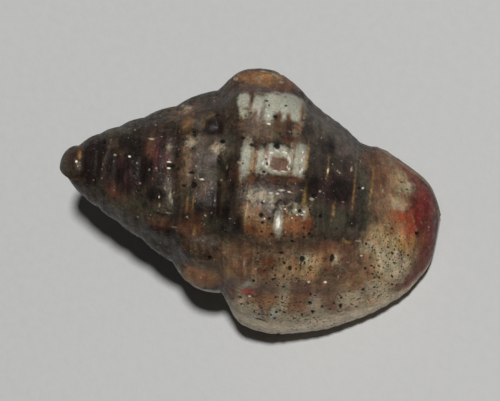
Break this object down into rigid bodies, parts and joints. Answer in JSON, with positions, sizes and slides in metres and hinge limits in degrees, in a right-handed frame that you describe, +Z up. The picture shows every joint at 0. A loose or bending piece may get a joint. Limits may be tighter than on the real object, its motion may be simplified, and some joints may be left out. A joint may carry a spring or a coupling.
{
  "type": "sea shell",
  "caption": "Worn spiral sea shell of a whelk-like snail, with a pointed spire, a ribbed body whorl, a thick lip and an open mouth on its underside.",
  "frame": {"origin": "middle of the bounding box in X and Y, on the surface that the shell rests on", "axes": "+X from the apex to the canal, +Y to the side away from the lip, +Z up; the shell rests on its mouth side"},
  "size_m": [0.0238, 0.0166, 0.0121],
  "materials": {
    "shell": "worn, half glossy, dark purple-brown with cream and orange patches"
  },
  "bodies": {
    "root": {"shell": "shell"}
  },
  "joints": []
}
